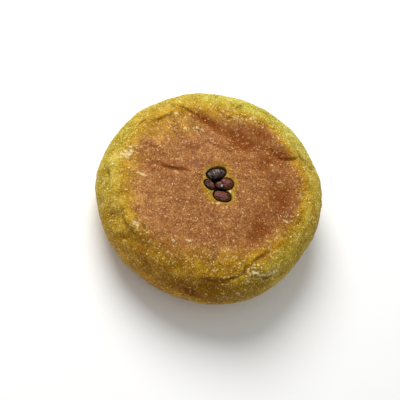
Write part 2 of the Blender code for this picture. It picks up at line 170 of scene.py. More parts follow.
# Baking: how far out the brown reaches, how softly it ends and how golden the wall below it is, each as a
# mean and its waves round the bun, and patches that took more or less heat, as the swells are written
baking = {
    "edge": (36.05, ((1, -0.38, 1.20), (2, 0.0, 1.54), (3, 0.21, -0.44), (4, 0.0, -0.28), (5, -0.25, -0.20))),
    "edgeWidth": (8.8, ((1, -2.87, 0.27), (2, 0.96, -1.54))),
    "wall": (0.28, ((1, 0.03, -0.24), (3, 0.02, 0.11))),
    "ragged": (6.0, 1.8, 51),        # lump size, reach, seed
    "raggedFine": (2.6, 0.5),        # how much finer and flatter the lumps on those lumps are
    "patches": (
        (-25, 14, 5, 4, 60, -0.1), (-28, -21, 8, 5, 110, 0.1), (-36.5, -3.5, 7, 4, 65, 0.27),
        (-38.6, 8, 5, 3, 80, 0.1), (-32, 16, 8, 4, 60, 0.12), (-29, 26, 6, 3, -30, 0.1),
        (-18.5, -31, 8, 3.6, -30, 0.25), (4.5, 35.8, 6, 2.6, -12, 0.25), (18, 34.4, 6, 2.4, -30, -0.3),
        (32, 6, 9, 3, 95, 0.25), (-4, -39, 9, 3, -14, 0.15), (34, -8, 5, 3, 80, -0.02),
        (0, -43, 8, 3, 0, -0.1), (2, 17, 4, 2, 30, -0.1), (-1.5, -7.6, 3.5, 1.8, -30, -0.3),
        (7.4, -1.2, 2, 1.4, -50, -0.4),
    ),
    # scorched patches, some of them painted shade in hollows, under ledges and on the near wall
    "scorchesAndShade": (
        (-18.6, 24.8, 8, 2.6, -2, 1.1), (-2.4, 24.8, 8.5, 4.8, -6, 1.1), (3.6, 32.6, 6, 2.8, -8, 0.9),
        (15.4, 29, 5.5, 1.7, 12, 0.95), (12.5, 16.5, 6, 3.4, 40, 0.5), (24.5, 11, 10, 6, 95, 0.55),
        (26.5, -9.5, 7.5, 4.4, 65, 0.9), (14, -20, 14, 5, 15, 0.25), (-33, -5.5, 7, 3.6, 60, 0.25),
        (-24, -7, 9, 2.4, 22, 0.3), (-3, -39, 9, 2.6, -12, 0.3), (23.5, -31.5, 7, 3.4, 40, 0.45),
        (34.6, -16.6, 5, 2.4, 60, 0.4), (14, -51, 26, 6, 14, 0.3), (40, -36, 14, 6, 50, 0.3),
        (-16.5, -42.4, 4.5, 1.5, -12, 0.35), (-32.5, -38.5, 4, 2.4, -45, 0.3),
        (16.8, -51.8, 4.5, 1.5, 10, 0.45), (21.6, -42.2, 6.5, 2, 32, 0.4), (24, 2, 7, 4, 95, 0.15),
        (12.5, 22, 6, 3.6, 50, 0.6), (28, 13.5, 6, 3.4, 95, 0.4), (-31, -9.5, 5, 3.6, 70, 0.25),
        (25.5, -38.6, 7, 3, 35, 0.25), (36, -31, 6, 3, 45, 0.2), (31, 24, 6, 3, 120, 0.2),
        (2.5, 26.5, 5, 3, 0, 0.45), (-1, 21.5, 4, 2, 20, 0.3), (-3, 8.6, 5, 1.6, 35, 0.35),
        (9.5, 33.5, 4, 2.5, -30, 0.35), (14.5, 25.5, 4, 3, 60, 0.3), (18.5, 5, 4, 2.5, 95, 0.25),
        (21, 15.5, 4, 3, 60, 0.2), (29.5, 7, 5, 3, 95, 0.45), (21.5, -7, 3, 3, 0, 0.4),
    ),
    "toneAndShade": (                       # lighter or darker crust where the browning is the same: partly the crust's own tone, partly painted shade on the near wall and painted light on lit ridges
        (-23, -21, 9, 6, 120, 0.06), (-31, 22.5, 6, 3, 60, 0.05), (-21, 29, 7, 3, 0, 0.08),
        (-34, -14, 5, 5, 0, 0.03), (-32, 3, 6, 4, 80, 0.06), (-0.3, -32.7, 3.5, 2, 20, 0.07),
        (-33, -34.5, 4, 2.5, 135, 0.08), (-15, 39, 24, 5, 15, -0.04), (-1.4, -39.2, 5, 3, -10, -0.09),
        (13.5, -36.5, 6, 3, 15, -0.1), (38, -15.5, 6, 4, 70, -0.07), (44.5, 2, 5, 4, 90, 0.05),
        (25, 32, 6, 3, -45, 0.05), (22, -14.5, 3.5, 3, 0, 0.14), (28, -28, 7, 4, 40, -0.13),
        (20.5, -34.5, 7, 3, 30, -0.1), (35, 3, 7, 4, 95, -0.1), (26, -39.5, 7, 4, 35, -0.09),
        (34, -41, 10, 6, 45, -0.1), (39.3, -28.5, 5, 4, 45, -0.1), (-44.5, -26, 6, 3, 80, -0.03),
        (14, -50, 12, 5, 10, -0.16), (26, -46, 10, 4, 35, -0.14), (-47, -2, 8, 4, 85, -0.1),
        (-42, 19, 8, 3, 60, -0.06), (-35, 19, 6, 2.5, 60, 0.07), (-35, -8.5, 4, 3, 60, 0.06),
        (-44, -14, 6, 3, 70, 0.08), (-35.5, 1, 3, 2.5, 0, 0.06), (-42, -1.5, 3, 2, 80, -0.05),
        (34.5, -9, 4, 2.5, 70, 0.07), (40.5, -2.5, 4, 2.5, 90, -0.05), (-6, -40.5, 5, 2.5, 0, -0.04),
        (-22.5, -40, 3, 1.5, -20, 0.06), (29.5, 0.5, 3, 3, 0, -0.06), (-8.5, -42.5, 4, 2, -5, -0.06),
        (-20.5, 17.5, 3, 2.5, 0, -0.05), (11, 10.5, 4, 2.5, 20, 0.04), (-27, -35, 3, 1.8, 0, -0.12),
        (14, -40, 6, 2, 15, -0.06), (3, -43.5, 5, 2, 5, -0.1), (10, -46, 8, 2, 10, 0.07),
        (20.5, -42.5, 4, 1.5, 32, 0.1), (-28.5, -40.5, 4, 2, -40, -0.08), (-15.5, -34.5, 3, 2, 0, -0.08),
        (-9, -27, 5, 2.5, 10, 0.06), (-20.5, -27.5, 5, 2.5, -30, 0.06), (-33, -22, 4, 2, 70, 0.05),
        (-0.5, 35.5, 5, 2.5, -10, 0.07), (17, 34, 4, 2, -30, 0.08), (26.5, 19.5, 4, 3, 95, 0.06),
        (3, -14, 3, 2.5, 0, 0.05), (-8.5, -19.5, 4, 3, 0, -0.05), (-17.5, 13.5, 4, 2.5, 20, 0.05),
        (-17.5, 8, 5, 2, 25, -0.05), (-20.5, -13.5, 6, 2.5, 0, -0.05), (-1, 16.5, 6, 2.5, 20, 0.06),
    ),
    # flour patches; those on the lips round the beans and on a ridge of the face are painted highlights
    "flourAndHighlights": (
        (-39.6, -10.4, 3.6, 2.4, 70, 0.9), (-20.1, -36.3, 2.4, 1.4, 130, 0.7), (46, 15, 3, 1.6, 90, 0.4),
        (-12.5, 34.5, 5, 2.6, 10, 0.5), (-2.2, 37.4, 2.4, 1.6, 20, 0.6), (-29, -15.4, 3.2, 0.5, 14, 0.7),
        (17.6, -36.4, 1.6, 0.6, 30, 0.8), (4.6, -8.4, 1.9, 0.6, 23, 1.1), (6.5, -0.8, 0.9, 0.5, 120, 1.5),
        (-7, 2.6, 1.4, 0.5, 60, 0.8), (-4.9, -4.4, 1.1, 0.35, -60, 0.7), (2.2, -31, 1.7, 0.8, 30, 0.9),
        (-3.2, -34.4, 0.8, 0.6, 0, 0.9), (-25.8, 14.9, 1, 0.7, 20, 1.1), (-32.6, 19.6, 1.6, 0.7, 40, 0.8),
        (-21.4, 18.4, 1.8, 0.5, -60, 0.8),
    ),
    "torn": (
        (33.8, -27.2, 4, 2, 15, 1), (40.8, -21.4, 4.6, 1.8, 42, 1), (33, -31.6, 2.6, 1.2, -60, 0.7),
    ),
    "tear": (1.5, 0.45, 71),         # size, height and seed of the crinkles where the skin tore
    "tearSink": 0.6,                 # share of that height by which the torn skin lies lower
    "tearFlour": 1.3,                # flour on the crinkles
    "unbaked": (0.24, 2.0),          # less brown round the beans, and how far that reaches
    "footReach": 4.0,                # the pan's brown fades over twice this distance above the foot
    "footMarks": {"browned": 0.85, "scorchedAndShaded": 0.15, "bare": 0.15, "outside": 9.0},
}

face = dough["girthRadius"] - dough["shoulder"]
foot = dough["girthRadius"] - dough["footInset"]


def ease(low, high, x):
    t = np.clip((x - low) / (high - low), 0.0, 1.0)
    return t * t * (3.0 - 2.0 * t)


def lumpNoise(points, size, seed):
    # gradient noise of about -1 to 1, with lumps of the given size
    directions = np.random.default_rng(seed).normal(size=(256, 3))
    directions /= np.linalg.norm(directions, axis=1, keepdims=True)
    cell = np.floor(points / size).astype(np.int64)
    inside = points / size - cell
    fade = inside**3 * (inside * (inside * 6.0 - 15.0) + 10.0)
    total = np.zeros(len(points))
    for corner in itertools.product((0, 1), repeat=3):
        corner = np.array(corner)
        at = cell + corner
        pick = (at[:, 0] * 73856093 ^ at[:, 1] * 19349663 ^ at[:, 2] * 83492791) % 256
        weight = np.prod(np.where(corner, fade, 1.0 - fade), axis=1)
        total += weight * np.sum(directions[pick] * (inside - corner), axis=1)
    return 1.6 * total


def halfSection(count=240):
    # distance along the skin, radius and height, from the middle of the face to the foot's edge
    girth, level = dough["girthRadius"], dough["girthHeight"]
    edgeHeight = dough["height"] - dough["faceDome"]
    across = np.linspace(0.0, face, count)
    turn = np.linspace(0.0, math.pi / 2, count)[1:]
    radius = np.concatenate([
        across,
        face + (girth - face) * np.sin(turn) ** (2 / dough["shoulderPower"]),
        foot + (girth - foot) * np.cos(turn) ** (2 / dough["undersidePower"]),
    ])
    height = np.concatenate([
        dough["height"] - dough["faceDome"] * (across / face) ** 2,
        level + (edgeHeight - level) * np.cos(turn) ** (2 / dough["shoulderPower"]),
        level - level * np.sin(turn) ** (2 / dough["undersidePower"]),
    ])
    height[-1] = 0.0
    along = np.concatenate([[0.0], np.cumsum(np.hypot(np.diff(radius), np.diff(height)))])
    return along, radius, height


def waves(angle, mean, terms):
    return mean + sum(a * np.cos(n * angle) + b * np.sin(n * angle) for n, a, b in terms)


def smoothSkin(angle, along):
    table, radii, heights = halfSection()
    radius = np.interp(along, table, radii)
    height = np.interp(along, table, heights)
    out = -np.interp(along, table, np.gradient(heights, table))
    up = np.interp(along, table, np.gradient(radii, table))
    length = np.hypot(out, up)
    radius = radius * (1.0 + waves(angle, 0.0, dough["outlineWaves"]) / dough["girthRadius"])
    ray = np.stack([np.cos(angle), np.sin(angle)], axis=1)
    points = np.column_stack([ray * radius[:, None], height])
    normals = np.column_stack([ray * (out / length)[:, None], up / length])
    return points, normals


def swell(chart, x, y, halfLength, halfWidth, heading, height):
    turn = math.radians(heading)
    away = chart - np.array([x, y])
    lengthways = away @ np.array([math.cos(turn), math.sin(turn)])
    sideways = away @ np.array([-math.sin(turn), math.cos(turn)])
    return height * np.exp(-((lengthways / halfLength) ** 2) - (sideways / halfWidth) ** 2)


def roundedPath(path, steps=6):
    # a Catmull-Rom curve through the points
    path = np.array(path, float)
    ends = np.vstack([2 * path[0] - path[1], path, 2 * path[-1] - path[-2]])
    t = np.linspace(0.0, 1.0, steps, endpoint=False)[:, None]
    pieces = []
    for a, b, c, d in zip(ends, ends[1:], ends[2:], ends[3:]):
        pieces.append(0.5 * (2 * b + (c - a) * t + (2 * a - 5 * b + 4 * c - d) * t**2
                             + (3 * b - a - 3 * c + d) * t**3))
    return np.vstack([*pieces, path[-1:]])


def crease(chart, path, halfWidth, depth, lift, darkness):
    # relief of one fold, and how dark the painted shade on each point is
    curve = roundedPath(path)
    steps = np.linalg.norm(np.diff(curve, axis=0), axis=1)
    start = np.concatenate([[0.0], np.cumsum(steps)])
    nearest = np.full(len(chart), np.inf)
    side = np.zeros(len(chart))
    share = np.zeros(len(chart))
    for a, b, step, begun in zip(curve, curve[1:], steps, start):
        away = chart - a
        part = np.clip(away @ (b - a) / step**2, 0.0, 1.0)
        distance = np.linalg.norm(away - part[:, None] * (b - a), axis=1)
        closer = distance < nearest
        nearest[closer] = distance[closer]
        side[closer] = np.sign((b - a)[0] * away[:, 1] - (b - a)[1] * away[:, 0])[closer]
        share[closer] = ((begun + part * step) / start[-1])[closer]
    tip = dough["creaseTip"]
    fade = np.sqrt(np.sin(math.pi * np.clip(share, tip, 1.0 - tip)))
    signed = nearest * side * np.sign(lift)
    ledge = ease(-halfWidth, halfWidth, signed) * np.exp(-np.maximum(signed, 0.0) / dough["liftReach"])
    ledge *= np.exp(-((nearest / (dough["liftEnd"] * dough["liftReach"])) ** 2))
    groove = np.exp(-((nearest / halfWidth) ** 2))
    return fade * (abs(lift) * ledge - depth * groove), fade * groove * darkness


def addCrease(chart, relief, shade, one):
    # only the skin within reach of the fold is worked out
    path, reach = np.array(one[0]), dough["creaseReach"] * dough["liftReach"]
    near = np.all((chart > path.min(axis=0) - reach) & (chart < path.max(axis=0) + reach), axis=1)
    height, dark = crease(chart[near], *one)
    relief[near] += height
    shade[near] = np.maximum(shade[near], dark)


def beanAxes(heading):
    turn = math.radians(heading)
    return np.array([math.cos(turn), math.sin(turn)]), np.array([-math.sin(turn), math.cos(turn)])


def pressSockets(points):
    # lowers the skin round the beans; returns the points and how far each lies outside the nearest socket
    depth, x, y, radius = socket["dimple"]
    onFace = points[:, 2] > dough["girthHeight"]
    away = np.hypot(points[:, 0] - x, points[:, 1] - y)
    level = points[:, 2] - onFace * depth * np.exp(-((away / radius) ** 2))
    floor = level.copy()
    outside = np.full(len(points), np.inf)
    for middle, length, width, thickness, heading, rise, stand in (*beans.values(), socket["well"]):
        lengthways, sideways = beanAxes(heading)
        offset = points[:, :2] - np.array(middle)
        u = offset @ lengthways
        v = offset @ sideways
        reach = ((np.abs(u) / (length / 2 + socket["gap"])) ** socket["endPower"]
                 + (np.abs(v) / (width / 2 + socket["gap"])) ** 2)
        belly = dough["height"] + stand - thickness / 2 + math.tan(math.radians(rise)) * u
        under = belly - (thickness / 2 + socket["gap"]) * np.sqrt(np.clip(1.0 - reach, 0.0, 1.0))
        beyond = (np.sqrt(reach) - 1.0) * (width / 2)
        wall = belly + (level - belly) * np.sqrt(ease(-socket["flare"], socket["flare"], beyond))
        near = onFace & (beyond < socket["flare"])
        floor = np.where(near, np.minimum(floor, np.where(reach < 1.0, under, wall)), floor)
        outside = np.where(onFace, np.minimum(outside, beyond), outside)
    return np.column_stack([points[:, :2], floor]), outside


def doughSkin(angle, along):
    # points of the finished skin, and what the oven and the folds did to each of them
    points, normals = smoothSkin(angle, along)
    chart = along[:, None] * np.stack([np.cos(angle), np.sin(angle)], axis=1)
    relief = np.zeros(len(points))
    shade = np.zeros(len(points))
    for size, height in dough["undulations"]:
        relief += height * lumpNoise(points, size, dough["undulationSeed"])
    for one in swells:
        relief += swell(chart, *one)
    for one in creases:
        addCrease(chart, relief, shade, one)

    size, reach, seed = baking["ragged"]
    finer, flatter = baking["raggedFine"]
    ragged = reach * (lumpNoise(points, size, seed) + flatter * lumpNoise(points, size / finer, seed + 1))
    edge, width = waves(angle, *baking["edge"]), waves(angle, *baking["edgeWidth"])
    browned = 1.0 - ease(edge - width, edge + width, along + ragged)
    browned += (1.0 - browned) * np.clip(waves(angle, *baking["wall"]), 0.0, 1.0)
    for one in baking["patches"]:
        browned += swell(chart, *one)
    scorchedAndShaded, toneAndShade, torn, flouryAndHighlit = [sum(swell(chart, *one) for one in baking[name])
                                     for name in ("scorchesAndShade", "toneAndShade", "torn", "flourAndHighlights")]
    size, height, seed = baking["tear"]
    crinkle = (1.0 - np.abs(lumpNoise(points, size, seed))) ** 3
    relief += height * torn * (crinkle - baking["tearSink"])
    flouryAndHighlit = flouryAndHighlit + baking["tearFlour"] * torn * crinkle
    reach = baking["footReach"]
    footEdge = halfSection()[0][-1] - reach
    footBrown = baking["footMarks"]["browned"] * ease(footEdge - reach, footEdge + reach, along + ragged)
    browned = np.maximum(np.clip(browned, 0.0, 1.0), footBrown)

    # finer lumps and wrinkles than the solid has, strongest on the unbrowned rim
    rim = 1.0 - dough["pressed"] * browned
    fine = sum(height * lumpNoise(points, size, seed) for size, height, seed in dough["fineLumps"])
    least, more = dough["fineShare"]
    fine *= least + more * rim
    spacing, depth, seed = dough["wrinkles"]
    flat, wander, size = dough["wrinkleBend"]
    stretched = points * np.array([1.0, 1.0, flat]) + wander * lumpNoise(points, size, seed + 1)[:, None]
    fine -= depth * rim * (1.0 - np.abs(lumpNoise(stretched, spacing, seed))) ** 6
    relief += fine - dough["skinSink"]
    relief *= ease(0.0, dough["footFade"], points[:, 2])
    points, outside = pressSockets(points + normals * relief[:, None])
    less, reach = baking["unbaked"]
    browned = np.clip(browned - less * np.exp(-((np.maximum(outside, 0.0) / reach) ** 2)), 0.0, 1.0)
    return points, {
        "browned": browned,
        "scorchedAndShaded": np.clip(scorchedAndShaded, 0.0, 1.0),
        "shade": np.clip(shade, 0.0, 1.0),
        "flouryAndHighlit": np.clip(flouryAndHighlit, 0.0, 1.0),
        "outside": np.clip(outside, *socket["markSpan"]),
        # painted shade in the fine hollows
        "hollow": np.clip(-fine / dough["hollowDepth"], -1.0, 1.0),
        "bare": 1.0 - browned,
        "toneAndShade": toneAndShade,
    }


def linear(colour):
    # sRGB hex to Blender's linear colour
    channels = [int(colour[i:i + 2], 16) / 255 for i in (1, 3, 5)]
    return (*[c / 12.92 if c <= 0.04045 else ((c + 0.055) / 1.055) ** 2.4 for c in channels], 1.0)


def addNode(tree, kind, inputs=None, stops=None, **settings):
    # a node with its settings, its constant inputs and the links that reach it
    node = tree.nodes.new(kind)
    for name, value in settings.items():
        setattr(node, name, value)
    for key, value in (inputs or {}).items():
        if isinstance(value, bpy.types.NodeSocket):
            tree.links.new(value, node.inputs[key])
        else:
            node.inputs[key].default_value = value
    if stops:
        ramp = node.color_ramp
        while len(ramp.elements) < len(stops):
            ramp.elements.new(1.0)
        for element, (position, colour) in zip(ramp.elements, stops):
            element.position = position
            element.color = linear(colour)
    return node


def newMaterial(name):
    material = bpy.data.materials.new(name)
    material.use_nodes = True
    tree = material.node_tree
    return material, tree, partial(addNode, tree), tree.nodes["Principled BSDF"]


def ranged(value, low, high, start=0.0, end=1.0):
    # the inputs of a Map Range that turns low to high into start to end
    return {"Value": value, "From Min": low, "From Max": high, "To Min": start, "To Max": end}


def placeInMm(add):
    place = add("ShaderNodeTexCoord").outputs["Object"]
    return add("ShaderNodeMapping", {"Vector": place, "Scale": (1 / mm,) * 3}).outputs["Vector"]


noiseSpan = (0.3, 0.7)       # nearly all of a noise lies between these values

# Mugwort yeast dough, pan-baked: a dry matt crust, green-yellow where only the air reached it and brown where
# the pan did, with pale grits of bran and flour under the skin. Its IOR is that of starch with air in it.
crust = {
    "green": ((0.36, "#8b8214"), (0.5, "#b0a534"), (0.64, "#cec46c")),
    "ochre": ((0.36, "#8c6706"), (0.5, "#b08511"), (0.64, "#cc9f2a")),
    "brown": ((0.36, "#6c380e"), (0.5, "#945b2a"), (0.64, "#bc8549")),
    # the colour of the scorches, also used for painted shade
    "scorchAndShade": "#753908",
    # the colour of the painted shade in the creases and fine hollows
    "crease": "#6c3402",
    "ring": "#968a1c",
    # the colour of the painted shadow in the sockets round the beans
    "well": "#140a04",
    # the colour of flour and of the painted highlights on lit lips
    "flourAndHighlights": "#e6d5a2",
    "speckOnBrown": "#d6a55c",
    "speckOnGreen": "#e2d784",
    "speckOnScorch": "#b26e24",
    "mottle": (6.0, 4.0, 0.62),      # noises: size in mm, detail, roughness
    "grain": (0.62, 2.0, 0.6),
    "flakes": (1.5, 3.0, 0.7),
    "crumb": (0.992, 4.0, 0.7),
    "pattern": (0.4, 0.6),           # shares of mottle and grain in the pattern that picks the tone
    "wander": -0.8,                  # how far the pattern moves the edges of the brown and of the scorched and painted-shade patches
    "turns": ((0.0, 0.5), (0.45, 0.95)),     # browning over which green turns to ochre, and ochre to brown
    "toRing": (4.0, 0.9, 0.62),      # the greener ring round the beans: how ragged, how wide and how strong
    "toSocketShadow": (-0.2, 0.25, 0.96),    # painted shadow in the sockets, which also draws a thin dark line round the beans: where it begins to fade and ends, and how strong
    "toFlourAndHighlight": (3.5, 2.1, 2.7, 0.85),        # flour and painted highlights: how patchy, where they begin and are whole, and how strong
    "toShade": 0.85,
    # how strong the painted shade in the fine hollows is
    "toHollowShade": 0.15,
    "toSpeck": 0.78,
    "specks": ((1.3, 0.48, 0.06, 0.35), (3.0, 0.68, 0.06, 0.24)),    # cell in mm, share of cells without,
                                     # smallest and largest radius in cells
    "speckEdge": (0.5, 1.1),         # shares of a speck's radius between which it fades
    "speckHeight": 0.35,
    "bump": (0.8, 0.2),              # strength, and depth in mm
    "roughness": (0.52, 0.74),
    "gloss": (0.08, 0.22),           # specular level of the dry wall and of the pan's oily brown
    "ior": 1.45,
}


def bakedDough():
    material, tree, add, shader = newMaterial("bakedMugwortDough")
    place = placeInMm(add)
    mark = {name: add("ShaderNodeAttribute", attribute_name=name).outputs["Fac"]
            for name in ("browned", "scorchedAndShaded", "shade", "flouryAndHighlit", "outside", "hollow", "toneAndShade")}
    noise = {}
    for name in ("mottle", "grain", "flakes", "crumb"):
        size, detail, roughness = crust[name]
        noise[name] = add("ShaderNodeTexNoise", {
            "Vector": place, "Scale": 1 / size, "Detail": detail, "Roughness": roughness}).outputs["Fac"]
    mottled, grainy = crust["pattern"]
    blend = add("ShaderNodeMath", {0: noise["mottle"], 1: mottled}, operation="MULTIPLY").outputs[0]
    blend = add("ShaderNodeMath", {0: noise["grain"], 1: grainy, 2: blend},
                operation="MULTIPLY_ADD").outputs[0]
    wander = add("ShaderNodeMath", {0: blend, 1: 0.5}, operation="SUBTRACT").outputs[0]
    # lighter or darker tone, partly painted shade and painted light
    blend = add("ShaderNodeMath", {0: blend, 1: mark["toneAndShade"]}, operation="ADD").outputs[0]
    green, ochre, brown = [
        add("ShaderNodeValToRGB", {"Fac": blend}, stops=crust[name]).outputs["Color"]
        for name in ("green", "ochre", "brown")]

    # pale grits just under the skin: one speck in some of the cells, each of its own size
    specks = []
    for cell, without, least, most in crust["specks"]:
        cells = add("ShaderNodeTexVoronoi", {"Vector": place, "Scale": 1 / cell})
        pick = add("ShaderNodeSeparateColor", {"Color": cells.outputs["Color"]}).outputs["Red"]
        radius = add("ShaderNodeMapRange", ranged(pick, without, 1.0, least, most)).outputs["Result"]
        ratio = add("ShaderNodeMath", {0: cells.outputs["Distance"], 1: radius},
                    operation="DIVIDE").outputs[0]
        specks.append(add("ShaderNodeMapRange", ranged(ratio, *crust["speckEdge"], 1.0, 0.0),
                          interpolation_type="SMOOTHSTEP").outputs["Result"])
    speck = add("ShaderNodeMath", {0: specks[0], 1: specks[1]}, operation="MAXIMUM").outputs[0]

    heat, toScorchAndShade = [
        add("ShaderNodeMath", {0: wander, 1: crust["wander"], 2: mark[name]},
            operation="MULTIPLY_ADD", use_clamp=True).outputs[0]
        for name in ("browned", "scorchedAndShaded")]
    toOchre, toBrown = [
        add("ShaderNodeMapRange", ranged(heat, *turn)).outputs["Result"] for turn in crust["turns"]]
    ragged, width, strength = crust["toRing"]
    aroundBeans = add("ShaderNodeMath", {0: wander, 1: ragged, 2: mark["outside"]},
                      operation="MULTIPLY_ADD").outputs[0]
    toRing = add("ShaderNodeMapRange", ranged(aroundBeans, 0.0, width, strength, 0.0),
                 interpolation_type="SMOOTHSTEP").outputs["Result"]
    toSocketShadow = add("ShaderNodeMapRange", ranged(mark["outside"], *crust["toSocketShadow"], 0.0)).outputs["Result"]
    patchy, low, high, strength = crust["toFlourAndHighlight"]
    patches = add("ShaderNodeMath", {0: noise["flakes"], 1: patchy, 2: mark["flouryAndHighlit"]},
                  operation="MULTIPLY_ADD").outputs[0]
    toFlourAndHighlight = add("ShaderNodeMapRange", ranged(patches, low, high, 0.0, strength)).outputs["Result"]
    toShade, toHollowShade, toSpeck = [
        add("ShaderNodeMath", {0: amount, 1: crust[name]}, operation="MULTIPLY",
            use_clamp=True).outputs[0]
        for amount, name in ((mark["shade"], "toShade"), (mark["hollow"], "toHollowShade"), (speck, "toSpeck"))]

    speckColour = linear(crust["speckOnGreen"])
    for share, over in ((toBrown, "speckOnBrown"), (toScorchAndShade, "speckOnScorch")):
        speckColour = add("ShaderNodeMix", {0: share, 6: speckColour, 7: linear(crust[over])},
                          data_type="RGBA").outputs[2]
    colour = green
    for share, over in (
        (toOchre, ochre),
        (toBrown, brown),
        (toRing, linear(crust["ring"])),
        # scorched crust, partly painted shade
        (toScorchAndShade, linear(crust["scorchAndShade"])),
        # painted shade in the fine hollows of the skin
        (toHollowShade, linear(crust["crease"])),
        (toSpeck, speckColour),
        # painted shade along the creases
        (toShade, linear(crust["crease"])),
        # flour, and painted highlights on lit lips and a ridge
        (toFlourAndHighlight, linear(crust["flourAndHighlights"])),
        # painted shadow in the sockets and a thin dark line round the beans
        (toSocketShadow, linear(crust["well"])),
    ):
        colour = add("ShaderNodeMix", {0: share, 6: colour, 7: over}, data_type="RGBA").outputs[2]
    tree.links.new(colour, shader.inputs["Base Color"])

    rough = add("ShaderNodeMapRange", ranged(blend, *noiseSpan, *crust["roughness"])).outputs["Result"]
    tree.links.new(rough, shader.inputs["Roughness"])
    height = add("ShaderNodeMath", {0: speck, 1: crust["speckHeight"], 2: noise["crumb"]},
                 operation="MULTIPLY_ADD").outputs[0]
    strength, depth = crust["bump"]
    bump = add("ShaderNodeBump", {"Height": height, "Strength": strength, "Distance": depth * mm})
    tree.links.new(bump.outputs["Normal"], shader.inputs["Normal"])
    shader.inputs["IOR"].default_value = crust["ior"]
    oily = toBrown
    for dull in (toScorchAndShade, toShade):
        oily = add("ShaderNodeMath", {0: oily, 1: dull}, operation="SUBTRACT").outputs[0]
    gloss = add("ShaderNodeMapRange", ranged(oily, 0.0, 1.0, *crust["gloss"])).outputs["Result"]
    tree.links.new(gloss, shader.inputs["Specular IOR Level"])
    return material


# Cooked adzuki bean: a thin satin skin, wrinkled along its length; its lightest tone is painted sheen on the
# wrinkles and its lower flanks get painted shade
beanLooks = {
    # the lightest stop of each bean paints sheen streaks on the wrinkles; on the black bean they run across
    # it
    "black": {"deep": "#120706", "mid": "#38231e", "light": "#9a8680", "streaks": (1.25, 0.42)},
    "brown": {"deep": "#1c0503", "mid": "#4e1e10", "light": "#8a5642", "streaks": (0.45, 1.7)},
    "red": {"deep": "#240a04", "mid": "#642a18", "light": "#9c6450", "streaks": (0.45, 1.7)},
    "steps": (("deep", 0.37), ("mid", 0.5), ("light", 0.63)),
    "hilum": "#f4efe4",
    "wrinkles": (1.0, 3.0, 0.6, 0.5),        # noises: number for each mm, detail, roughness, distortion
    "mottle": (0.8, 4.0, 0.65, 0.0),
    "paleShare": 0.15,
    "bump": (0.9, 1.2),      # strength, and depth in mm
    "roughness": (0.26, 0.46),
    "specular": 0.35,
    "ior": 1.5,
    "around": 72,
    "rings": 84,
    "inset": 0.03,           # the skin lies this far inside the bean's solid
    "dents": (2.3, 0.16, 61, 20.0),  # size, depth, seed and how far apart the beans stand in the noise
    "folds": (0.9, 0.2, 62, 9.0),
    "shadedFlanks": (-2.0, 0.1, 0.6),     # how dark the painted shade on the lower flanks is, and between what heights that fades
}

# The white eye of a burst bean and the pit it lies in, from the bean's middle
beanEye = {
    "place": (-1.75, -0.85),
    "halfSize": (0.4, 0.44),
    "edge": 1.8,             # how sharply it ends
    "stands": 0.35,
    "pit": (0.5, -0.35, 0.55, 0.8),  # depth, shift along the bean, half length and half width
    "shade": (5.0, 0.8),     # how dark the painted shade in the pit is, and how far that reaches
    "burst": (1.6, 2.4),     # the skin turns paler between these distances towards the burst end
}


def beanSkin(name, look):
    material, tree, add, shader = newMaterial(name)
    spread = add("ShaderNodeUVMap", uv_map="skin").outputs["UV"]     # mm along, mm around
    hilum, paleAndShade = [add("ShaderNodeAttribute", attribute_name=mark).outputs["Fac"]
                   for mark in ("hilum", "paleAndShade")]
    place = placeInMm(add)
    streaks = add("ShaderNodeMapping", {"Vector": spread, "Scale": (*look["streaks"], 1.0)}).outputs["Vector"]
    noises = []
    for vector, name in ((streaks, "wrinkles"), (place, "mottle")):
        scale, detail, roughness, distortion = beanLooks[name]
        noises.append(add("ShaderNodeTexNoise", {
            "Vector": vector, "Scale": scale, "Detail": detail, "Roughness": roughness,
            "Distortion": distortion}).outputs["Fac"])
    wrinkle, mottle = noises
    tone = add("ShaderNodeMath", {0: wrinkle, 1: mottle}, operation="ADD").outputs[0]
    # the burst end's paler skin, with painted shade on the lower flanks and in the eye's pit
    tone = add("ShaderNodeMath", {0: paleAndShade, 1: beanLooks["paleShare"], 2: tone},
               operation="MULTIPLY_ADD").outputs[0]
    tone = add("ShaderNodeMath", {0: tone, 1: 0.5}, operation="MULTIPLY").outputs[0]
    # the lightest stop of the ramp is painted sheen
    colour = add("ShaderNodeValToRGB", {"Fac": tone},
                 stops=[(step, look[part]) for part, step in beanLooks["steps"]]).outputs["Color"]
    colour = add("ShaderNodeMix", {0: hilum, 6: colour, 7: linear(beanLooks["hilum"])},
                 data_type="RGBA").outputs[2]
    tree.links.new(colour, shader.inputs["Base Color"])
    rough = add("ShaderNodeMapRange", ranged(mottle, *noiseSpan, *beanLooks["roughness"])).outputs["Result"]
    tree.links.new(rough, shader.inputs["Roughness"])
    strength, depth = beanLooks["bump"]
    bump = add("ShaderNodeBump", {"Height": tone, "Strength": strength, "Distance": depth * mm})
    tree.links.new(bump.outputs["Normal"], shader.inputs["Normal"])
    shader.inputs["IOR"].default_value = beanLooks["ior"]
    shader.inputs["Specular IOR Level"].default_value = beanLooks["specular"]
    return material


def addObject(name, data):
    made = bpy.data.objects.new(name, data)
    bpy.context.scene.collection.objects.link(made)
    return made


def newPiece(name, points, faces, material, marks=None):
    # points in mm; marks are named values for each point
    mesh = bpy.data.meshes.new(name)
    mesh.from_pydata((np.asarray(points) * mm).tolist(), [], faces)
    mesh.materials.append(material)
    for mark, values in (marks or {}).items():
        mesh.attributes.new(mark, "FLOAT", "POINT").data.foreach_set("value", np.asarray(values, np.float32))
    mesh.shade_smooth()
    return addObject(name, mesh)


